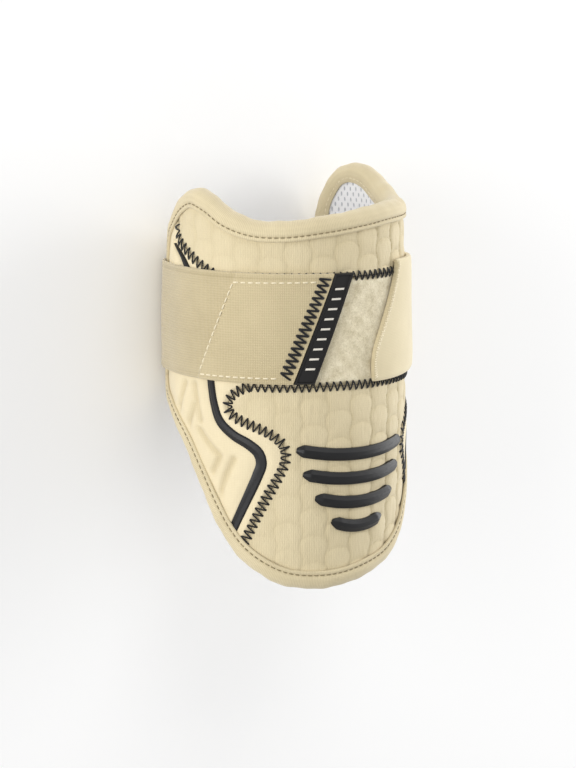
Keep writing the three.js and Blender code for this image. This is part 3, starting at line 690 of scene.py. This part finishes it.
def sideGrid(side):
    line = onSide(panelRim, side)
    half = line[line[:, 0] < sides["inward"]]
    rows = np.arange(sides["lowest"], half[:, 1].max() - 0.6, sides["step"])
    low, high = rimSpans(rows, 1)
    outer = low if side < 0 else -high
    inner = np.select([rows < seamLow, rows < seamHigh], [seamAt(lobeSeamLine, rows, 1), bandEdge(rows)],
                      seamAt(crownSeamLine, rows, 1))
    return rowGrid(rows, outer, np.maximum(inner - wall["seamGap"], outer + 0.05), sides["columns"])


def sidePanel(side, name):
    along, up = sideGrid(side)
    nearSeam = distanceTo(along, up, np.vstack([lobeSeamLine, crownSeamLine]))
    nearRim = distanceTo(along, up, onSide(panelRim, side))
    nearInlay = distanceTo(along, up, inlayLine) - sides["inlayHalf"]
    relief = -quilt["seamDip"] * (1 - ease(nearSeam, 0.2, quilt["seamReach"]))
    middle = ease(nearRim, 4.5, 12) * ease(nearSeam, 0, 6) * ease(nearInlay, -0.5, 4)
    relief = relief + sides["crowning"] * middle - sides["channel"] * (1 - ease(nearInlay, -0.6, 0.5))
    pressed = np.zeros(along.shape)
    for groove in sides["grooves"]:
        near = distanceTo(along, up, smoothLine(lobePoints(groove)))
        pressed = np.maximum(pressed, np.exp(-((near / sides["grooveReach"]) ** 2)))
    pressed = pressed * ease(nearRim, *sides["grooveFade"])
    relief = relief - sides["grooveDepth"] * pressed + strays(along, up, *sides["waves"])
    # painted shade: darker in the pressed grooves and close to the seams
    shade = np.clip(0.85 - 0.3 * pressed - 0.3 * (1 - ease(nearSeam, 0, 2)), 0, 1)
    if side > 0:
        along, up, relief, shade = -along[:, ::-1], up[:, ::-1], relief[:, ::-1], shade[:, ::-1]
    paddedPanel("sidePanel" + name, along, up, relief, smoothCloth, shade, 0.8,
                beside=leftTongue() if side < 0 else None,
                node="side_panel_" + name.lower(), slot="smooth_cloth")


def loopPanel():
    start = labelMiddle(bandRows) + wall["seamGap"]
    along, up = rowGrid(bandRows, start, -bandEdge(bandRows) - wall["seamGap"], band["loopColumns"])
    relief = bandRelief(up) + strays(along, up, *band["loopWaves"])
    # painted shade: darker toward the two seams along its edges
    shade = 0.5 + 0.3 * ease(nearBandSeam(up), 0, 3)
    paddedPanel("loopPanel", along, up, relief, loopPile, shade, 0.7, node="loop_panel", slot="loop_pile")


sidePanel(-1, "Left")
sidePanel(1, "Right")
loopPanel()
print("side and loop panels made")


def sweptPiece(name, line, section, bend, material, closed=False, **names):
    # section gives, for each place on the line, its points as steps sideways and out
    normal = sideways(line, closed)
    along = line[:, None, 0] + normal[:, None, 0] * section[..., 0]
    up = line[:, None, 1] + normal[:, None, 1] * section[..., 0]
    out = section[..., 1]
    rows, columns = along.shape
    corner = np.arange(rows * columns).reshape(rows, columns)
    if closed:
        corner = np.vstack([corner, corner[:1]])
    nextColumn = np.roll(corner, -1, 1)
    quads = np.stack([corner[:-1], corner[1:], nextColumn[1:], nextColumn[:-1]], -1).reshape(-1, 4)
    faces = [list(quad) for quad in quads]
    if not closed:
        faces += [list(corner[0]), list(corner[-1][::-1])]
    flat = np.stack([np.repeat(runOf(line)[:, None], columns, 1), section[..., 0], out], -1).reshape(-1, 3)
    return makePiece(name, bend(along, up, out), faces, flat, material, **names)


def bindingSection():  # outer flap, roll and inner flap, as steps in from the rim and out from the wall
    outer = [(9.1, 0.05), (9.2, 0.55), (8.95, 1.05), (8.4, 1.3), (7.8, 1.22), (7.35, 1.0), (7.1, 0.88),
             (6.85, 1.0), (6.4, 1.25), (5.8, 1.4)]
    radius = binding["noseRadius"]
    nose = [(beadRadius + radius * math.cos(turn), beadMiddle + radius * math.sin(turn))
            for turn in np.linspace(math.pi / 2, 3 * math.pi / 2, 22)]
    inner = [(6.2, -9.4), (7.1, -9.2), (8.4, -9.35), (9.1, -9.1), (9.2, -8.4), (3.9, -8.2), (3.7, 0.05)]
    return np.array(outer + nose + inner)


def edgeBinding():
    profile = bindingSection()
    section = np.repeat(profile[None], len(rimLine), 0)
    run = np.arange(len(rimLine)) * binding["step"]
    pull = np.abs(np.cos(math.pi * run / binding["stitchPitch"]))[:, None]
    onFlap = (profile[:, 0] > binding["flapStart"]) & (profile[:, 1] > 0.1)
    fromStitch = (profile[:, 0] - binding["stitchInset"]) / binding["pullReach"]
    section[..., 1] -= binding["pull"] * pull * (np.exp(-(fromStitch**2)) * onFlap)[None]
    onNose = profile[:, 0] < binding["noseRadius"]
    for height, length, offset in (binding["swell"], binding["ripple"]):
        section[..., 0] -= (height * np.sin(2 * math.pi * run / length + offset))[:, None] * onNose[None]
    piece = sweptPiece("edgeBinding", rimLine, section, onWall, bindingCloth, closed=True,
                       node="edge_binding", slot="binding_cloth", sharp=50)


def sideInlay(side, name):
    half = np.interp(np.linspace(0, 1, len(inlayLine)), *zip(*inlay["widths"])) / 2
    across, out = np.array(inlay["profile"]).T
    section = np.stack([half[:, None] * across, np.repeat(out[None], len(half), 0)], -1)
    line = onSide(inlayLine, side)
    if side > 0:
        section = mirrored(section[:, ::-1])
    low, high = rimSpans(line[:, 1], 1)
    kept = (line[:, 0] > low) & (line[:, 0] < high)  # it ends under the binding
    line, section = line[kept], section[kept]
    sweptPiece("sideInlay" + name, line, section, onWall, blackRubber,
               node="side_inlay_" + name.lower(), slot="black_rubber", sharp=25)


lining = {
    "outer": -6.8,
    "inner": -8.0,
    "waves": (0.15, 20, 8),
    "endGap": 0.4,
    "columns": 260, "rows": 150,
}


def meshLining():
    reach = panelRim[:, 0].max() - lining["endGap"]
    columns = np.linspace(-reach, reach, lining["columns"])
    low, high = rimSpans(columns, 0)
    along, up = columnGrid(columns, low, high, lining["rows"])
    outer = np.full(along.shape, lining["outer"])
    inner = lining["inner"] + strays(along, up, *lining["waves"])
    piece = slabPiece("meshLining", along, up, outer, inner, onWall, liningMesh,
                      node="mesh_lining", slot="lining_mesh")
    middle = (lining["outer"] + lining["inner"]) / 2
    tighter = (wall["radius"] + middle) / wall["radius"]  # it lies on the inner face, so it is cut narrower
    cut = (high - low).mean() * 2 * reach * tighter / 1e6
    2 * reach * tighter / 1000


edgeBinding()
sideInlay(-1, "Left")
sideInlay(1, "Right")
meshLining()
print("binding, inlays and lining made")


def strapCloth(name, along, up, outer, material, seed, shade, **names):
    # a band of cloth on the strap's path with rounded edges
    rows, columns = along.shape
    edge = np.minimum(np.arange(rows), np.arange(rows)[::-1])[:, None] * np.ones((1, columns))
    edge = edge * (np.ptp(up[:, columns // 2]) / (rows - 1))
    outer = outer - 0.55 * (1 - ease(edge, 0, 1.1))
    outer = outer + strays(along, up, *strap["waves"], seed) * ease(edge, 0, 6)
    inner = 0.45 * (1 - ease(edge, 0, 0.8))
    slabPiece(name, along, up, outer, inner, onStrap, material, shade, **names)


elastic = {
    "rows": 64, "columns": 420,
    "tabGap": 0.3,
    "doubled": 0.55,  # how much higher it lies where its end is folded back and sewn down
    "doubledFrom": [-80.6, -59.4],  # where that starts, at the strap's lower and upper edge
    "doubledSlope": 0.7,
    "lipInset": 2.1,  # a pressed line along each edge
    "lips": [(0.3, 0.45), (0.18, 0.4)],  # its depth and width, at the upper edge and at the lower one
    "seed": 21,
}


def elasticStrap():
    start = strap["tabStart"] + strap["tabLength"] + elastic["tabGap"]
    share = np.linspace(0, 1, elastic["rows"])[:, None]
    place = np.linspace(0, 1, elastic["columns"])[None]
    stop = loopLength + strap["labelFoot"] - strap["clearance"] + strap["labelLean"] * share
    along = start + (stop - start) * place
    up = share * strap["width"] + strap["rise"] * (1 - place)
    fold = loopLength + np.interp(up, [0, strap["width"]], elastic["doubledFrom"])
    doubled = ease(along - fold, -elastic["doubledSlope"], elastic["doubledSlope"])
    fromTop = strap["width"] + strap["rise"] * (1 - place) - up
    lip = 0
    for inset, (depth, width) in zip([fromTop, strap["width"] - fromTop], elastic["lips"]):
        lip = lip + depth * np.exp(-(((inset - elastic["lipInset"]) / width) ** 2))
    outer = strap["thickness"] + elastic["doubled"] * doubled - lip
    # painted shade in the pressed lines along its edges, and painted light where the doubled end stands
    # higher
    strapCloth("elasticStrap", along, up, outer, elasticCloth, elastic["seed"], 0.72 - lip + 0.12 * doubled,
               node="elastic_strap", slot="strap_elastic")


tab = {
    # its free edge from below: along as shares of the label's lean, up as shares of the strap's width
    "end": [(0, -0.016), (-0.02, 0.116), (0.03, 0.26), (0.35, 0.52), (0.62, 0.71), (1, 1.03), (0.96, 1.07)],
    "rows": 70, "columns": 120,
    "spread": 1.15,  # above 1, the columns lie closer at the free edge
    "edgeDrop": 0.5,
    "swell": 0.25,
    "seed": 33,
}
tabEndLine = smoothLine([(strap["tabStart"] + lean * strap["labelLean"], up * strap["width"])
                         for lean, up in tab["end"]])


def hookTab():
    share = np.linspace(0, 1, tab["rows"])[:, None]
    place = np.linspace(0, 1, tab["columns"])[None] ** tab["spread"]
    run = np.linspace(0, 1, len(tabEndLine))
    startAlong, startUp = (np.interp(share, run, tabEndLine[:, k]) for k in (0, 1))
    seam = strap["tabStart"] + strap["tabLength"]
    along = startAlong + (seam - startAlong) * place
    up = startUp + (strap["rise"] + share * strap["width"] - startUp) * ease(place, 0, 1)
    fromEdge = ease(along - startAlong, 0, 1.2)
    swell = tab["swell"] * ease(along - startAlong, 0, 12)
    outer = strap["tabThickness"] + tab["edgeDrop"] * (fromEdge - 1) + swell
    # painted shade along the free edge, where the tab's top drops away
    strapCloth("hookTab", along, up, outer, tabCloth, tab["seed"], 0.6 + 0.25 * fromEdge,
               node="hook_tab", slot="smooth_cloth")


label = {  # from an edge in: its side, its rounded rim and the sunk middle
    "inset": np.array([0, 0.0, 0.35, 0.9, 1.2]),
    "height": np.array([0.4, 2.4, 2.9, 2.9, 2.25]),
    "rows": 40,
    "rowsInset": 3,
    "inner": 0.38,
}


def rubberLabel():
    inset, height = label["inset"], label["height"]
    wide, long = strap["labelWidth"], strap["width"]
    across = np.concatenate([inset, [wide / 2], wide - inset[::-1]])
    sideHeight = np.concatenate([height, height[-1:], height[::-1]])
    rows = np.linspace(label["rowsInset"], long - label["rowsInset"], label["rows"])
    lengthwise = np.concatenate([inset, rows, long - inset[::-1]])
    endHeight = np.interp(np.minimum(lengthwise, long - lengthwise), inset[1:], height[1:])
    middle = (across >= inset[-1]) & (across <= wide - inset[-1])
    out = np.where(middle[None], endHeight[:, None], sideHeight[None])
    out[[1, -2]] = np.minimum(out[[1, -2]], height[1])
    out[[0, -1]] = height[0]
    up = np.repeat(lengthwise[:, None], len(across), 1)
    along = strap["labelFoot"] + across[None] + up / long * strap["labelLean"]
    slabPiece("rubberLabel", along, up, out, label["inner"], onWall, labelRubber,
              node="rubber_label", slot="black_rubber", sharp=30)


ticks = {
    "count": 9,
    "first": 0.14,  # shares of the strap's width
    "span": 0.72,
    "half": 2.1,
    "thick": 0.45,
    "slant": 0.38,
    "rings": [(2.1, 1.0), (2.62, 1.0), (2.72, 0.82)],  # height and size of each ring of four corners
}


def labelTicks():  # a row of plain moulded ticks down the label
    points, faces = [], []
    for i in range(ticks["count"]):
        middle = strap["width"] * (ticks["first"] + ticks["span"] * i / (ticks["count"] - 1))
        first = len(points)
        for out, size in ticks["rings"]:
            for across, along in [(-1, -1), (1, -1), (1, 1), (-1, 1)]:
                step = along * ticks["thick"] * size
                points.append((labelMiddle(middle) + across * ticks["half"] * size + step * ticks["slant"],
                               middle + step, out))
        for low in (first, first + 4):
            faces += [[low + k, low + (k + 1) % 4, low + (k + 1) % 4 + 4, low + k + 4] for k in range(4)]
        faces += [[first + k for k in (8, 9, 10, 11)], [first + k for k in (3, 2, 1, 0)]]
    flat = np.array(points)
    makePiece("labelTicks", onWall(*flat.T), faces, flat, paleRubber)


elasticStrap()
hookTab()
rubberLabel()
labelTicks()
print("strap, tab and label made")

ribs = {
    "width": 6.2,
    "pitch": 11.4,
    "level": -31,
    "bow": 3.2,
    "taper": 3.6,
    "halves": [0.25, 0.225, 0.18, 0.115],  # half of each rib's length, as a share of wrapHalf
    "profile": [(-1, -0.6), (-0.95, 0.8), (-0.35, 2.05), (0.2, 2.2), (0.9, 0.75), (1, -0.6)],
}


def gripRib(number, half):
    reach = half * wall["wrapHalf"]
    level = ribs["level"] - number * ribs["pitch"]
    line = smoothLine([(k * reach, level - ribs["bow"] * (1 - k * k)) for k in (-1, -0.5, 0, 0.5, 1)],
                      step=0.6)
    share = np.linspace(-1, 1, len(line))
    end = np.clip((1 - np.abs(share)) * reach / ribs["taper"], 0, 1)
    width = ribs["width"] / 2 * (0.3 + 0.7 * end**0.7)
    height = 0.35 + 0.65 * end
    across, out = np.array(ribs["profile"]).T
    out = np.where(out > 0, out * height[:, None], out)
    section = np.stack([width[:, None] * across, out], -1)
    sweptPiece("gripRib%d" % (number + 1), line, section, onWall, blackRubber,
               node="grip_rib_%d" % (number + 1), slot="black_rubber", sharp=25)


for number, half in enumerate(ribs["halves"]):
    gripRib(number, half)
print("grip ribs made")

sewing = {  # each zigzag's thread, width, pitch, and heights where it dips in and where it lies on top
    "sides": 7,
    "seam": {"thread": 0.37, "width": 5.9, "heights": (-0.75, 0.32)},
    "lobePitch": 3.1,
    "crownPitch": 3.8,
    "lobeStops": (-77, -56),  # where the seams run under the binding: left, right and above
    "crownStop": 70.8,
    "loop": {"thread": 0.37, "width": 4.6, "pitch": 3.4, "heights": (-0.6, 0.42)},
    "strapEnd": {"thread": 0.54, "width": 5.6, "pitch": 3.1, "heights": (-0.55, 0.3)},
    "strapEndLine": [(-18.6, 49.2), (-37.6, 1.9)],
    "tabEdge": {"thread": 0.2, "width": 1.5, "pitch": 1.1, "heights": (-0.35, 0.02)},
    "tabInset": 1.1,
    "box": {"thread": 0.38, "pitch": 3.5, "length": 2.5, "heights": (-0.45, 0.05)},
    "boxCorners": [(-22.4, 47.2), (-60.9, 46.8), (-79.2, 2.9), (-40.5, 2.9)],
}


def threadPiece(name, paths, radius, bend, material):
    # each path is a short run of flat points, and becomes a round thread with closed ends
    sideCount = sewing["sides"]
    turn = np.linspace(0, 2 * math.pi, sideCount, endpoint=False)
    points, flats, faces = [], [], []
    for path in paths:
        path = np.array(path, float)
        spots = bend(path[:, 0], path[:, 1], path[:, 2])
        above = bend(path[:, 0], path[:, 1], path[:, 2] + 1)
        run = np.gradient(spots, axis=0)
        run = run / np.linalg.norm(run, axis=1)[:, None]
        side = np.cross(run, above - spots)
        side = side / np.linalg.norm(side, axis=1)[:, None]
        outward = np.cross(side, run)
        thick = np.full(len(path), radius / 1000)
        thick[[0, -1]] *= 0.55  # drawn thin where it enters the cloth
        ring = np.cos(turn)[None, :, None] * side[:, None] + np.sin(turn)[None, :, None] * outward[:, None]
        ring = spots[:, None] + ring * thick[:, None, None]
        first = sum(len(part) for part in points)
        points.append(ring.reshape(-1, 3))
        flats.append(np.repeat(path, sideCount, 0))
        corner = first + np.arange(len(path) * sideCount).reshape(len(path), sideCount)
        after = np.roll(corner, -1, 1)
        faces += np.stack([corner[:-1], after[:-1], after[1:], corner[1:]], -1).reshape(-1, 4).tolist()
        faces += [corner[0][::-1].tolist(), corner[-1].tolist()]
    makePiece(name, np.vstack(points), faces, np.vstack(flats), material, sharp=60)


def zigzag(line, stitch, pitch, base=0):  # legs from side to side of a line, dipping in at their ends
    marks = np.arange(0, runOf(line)[-1] - pitch / 4, pitch / 2)
    swing = np.where(np.arange(len(marks)) % 2, 1, -1)[:, None] * stitch["width"] / 2
    spots = valuesAt(marks, line, line) + valuesAt(marks, line, sideways(line)) * swing
    low, high = (base + height for height in stitch["heights"])
    slope = (low + high) / 2 + 0.12
    leg = list(zip([0, 0.08, 0.3, 0.7, 0.92, 1], [low, slope, high, high, slope, low]))
    return [[(*(a + (b - a) * share), out) for share, out in leg] for a, b in zip(spots, spots[1:])]


def dashes(line, pitch, length, low, high):  # single stitches one behind another
    paths = []
    for start in np.arange(pitch / 4, runOf(line)[-1] - length, pitch):
        spots = valuesAt(start + length * np.array([0, 0.15, 0.5, 0.85, 1]), line, line)
        paths.append([(*spot, out) for spot, out in zip(spots, [low, high, high + 0.05, high, low])])
    return paths


def seamStitches():
    stitch = sewing["seam"]
    paths = []
    for side, stop in zip((-1, 1), sewing["lobeStops"]):
        line = onSide(lobeSeamLine[lobeSeamLine[:, 1] > stop], side)
        paths += zigzag(line, stitch, sewing["lobePitch"])
    for side in (-1, 1):
        line = onSide(crownSeamLine[crownSeamLine[:, 1] < sewing["crownStop"]], side)
        paths += zigzag(line, stitch, sewing["crownPitch"])
    threadPiece("seamZigzag", paths, stitch["thread"], onWall, blackThread)
    stitch = sewing["loop"]
    paths = []
    for level in (seamHigh, seamLow):
        edge = -bandEdge(level)
        paths += zigzag(smoothLine([(-edge, level), (edge, level)]), stitch, stitch["pitch"])
    threadPiece("loopZigzag", paths, stitch["thread"], onWall, blackThread)


def bindingStitches():
    line = rimLine + rimNormal * binding["stitchInset"]
    line = np.vstack([line, line[:1]])
    for name, heights, radius, material in [
            ("bindingStitches", binding["stitchHeights"], binding["thread"], tanThread),
            ("bindingStitchesInside", binding["insideHeights"], binding["insideThread"], paleThread)]:
        paths = dashes(line, binding["stitchPitch"], binding["stitchLength"], *heights)
        threadPiece(name, paths, radius, onWall, material)


def strapStitches():
    doubledTop = strap["thickness"] + elastic["doubled"]
    sewnEnd = smoothLine([(loopLength + along, up) for along, up in sewing["strapEndLine"]])
    tabEdge = (tabEndLine + sideways(tabEndLine) * sewing["tabInset"])[3:-3]
    for name, key, line, base, material in [
            ("strapEndZigzag", "strapEnd", sewnEnd, doubledTop, blackThread),
            ("tabEdgeStitches", "tabEdge", tabEdge, strap["tabThickness"], paleThread)]:
        stitch = sewing[key]
        threadPiece(name, zigzag(line, stitch, stitch["pitch"], base), stitch["thread"], onStrap, material)
    stitch = sewing["box"]
    low, high = (doubledTop + height for height in stitch["heights"])
    corners = [(loopLength + along, up) for along, up in sewing["boxCorners"]]
    paths = []
    for corner in zip(corners, corners[1:]):
        paths += dashes(smoothLine(corner), stitch["pitch"], stitch["length"], low, high)
    threadPiece("strapBoxStitches", paths, stitch["thread"], onStrap, paleThread)


seamStitches()
bindingStitches()
strapStitches()
print("stitches made")

studio = {
    "floor": rgb(252, 252, 252),
    "sky": 0.63,
    "eye": (-36.5, 8.7),  # turn and height of the eye about the guard when it stands upright
    "distance": 1.463,
    "lens": 143.3,
    "aimUp": -5.2,  # the point that it looks at, in millimetres above the strap's lower edge
    "aside": 0.0004786,  # how far to the right of that point and below it the middle of the picture lies
    "below": 0.0033502,
    "floorLevel": -0.0002,
    "lamps": {  # place in metres, size, power
        "leftSoftbox": ((-1.5, 0.2, 0.32), 1.0, 16),
        "rightSoftbox": ((1.5, 0.3, 0.42), 1.0, 20),
        "topSoftbox": ((0.1, 1.5, 1.1), 1.2, 6),
    },
}


def makeStudio():
    floor = Finish("studio floor", Specular_IOR_Level=0.0, Roughness=1.0)
    grain = floor.add("ShaderNodeTexNoise", {}, {"Scale": 3.0})
    floor.set("Base Color", floor.tint(grain, studio["floor"], rgb(250, 250, 250)))
    bpy.ops.mesh.primitive_plane_add(size=60)
    plane = bpy.context.object
    plane.name = "studioFloor"
    plane.location.z = studio["floorLevel"]
    plane.data.materials.append(floor.material)
    world = bpy.data.worlds.new("soft sky")
    bpy.context.scene.world = world
    world.use_nodes = True
    background = world.node_tree.nodes["Background"]
    background.inputs["Color"].default_value = (1, 1, 1, 1)
    background.inputs["Strength"].default_value = studio["sky"]
    for name, (place, size, power) in studio["lamps"].items():
        light = bpy.data.lights.new(name, "AREA")
        light.energy = power
        light.size = size
        lamp = bpy.data.objects.new(name, light)
        lamp.location = place
        lamp.rotation_mode = "QUATERNION"
        lamp.rotation_quaternion = (Vector(place) - Vector((0, 0, 0.05))).to_track_quat("Z", "Y")
        bpy.context.scene.collection.objects.link(lamp)


def makeCamera():
    turn, height = (math.radians(angle) for angle in studio["eye"])
    back = Vector((math.sin(turn) * math.cos(height), math.sin(height), math.cos(turn) * math.cos(height)))
    right = Vector((0, 1, 0)).cross(back).normalized()
    over = back.cross(right)
    aim = Vector(placed(0.0, 0.0, studio["aimUp"])) + right * studio["aside"] - over * studio["below"]
    lens = bpy.data.cameras.new("photo camera")
    lens.lens = studio["lens"]
    lens.sensor_width = 36
    lens.clip_start = 0.05
    camera = bpy.data.objects.new("photoCamera", lens)
    bpy.context.scene.collection.objects.link(camera)
    place = aim + back * studio["distance"]
    camera.matrix_world = Matrix([[right[k], over[k], back[k], place[k]] for k in range(3)] + [[0, 0, 0, 1]])
    bpy.context.scene.camera = camera


makeStudio()
makeCamera()
bpy.context.scene.view_settings.view_transform = "Standard"
print("studio and camera made")
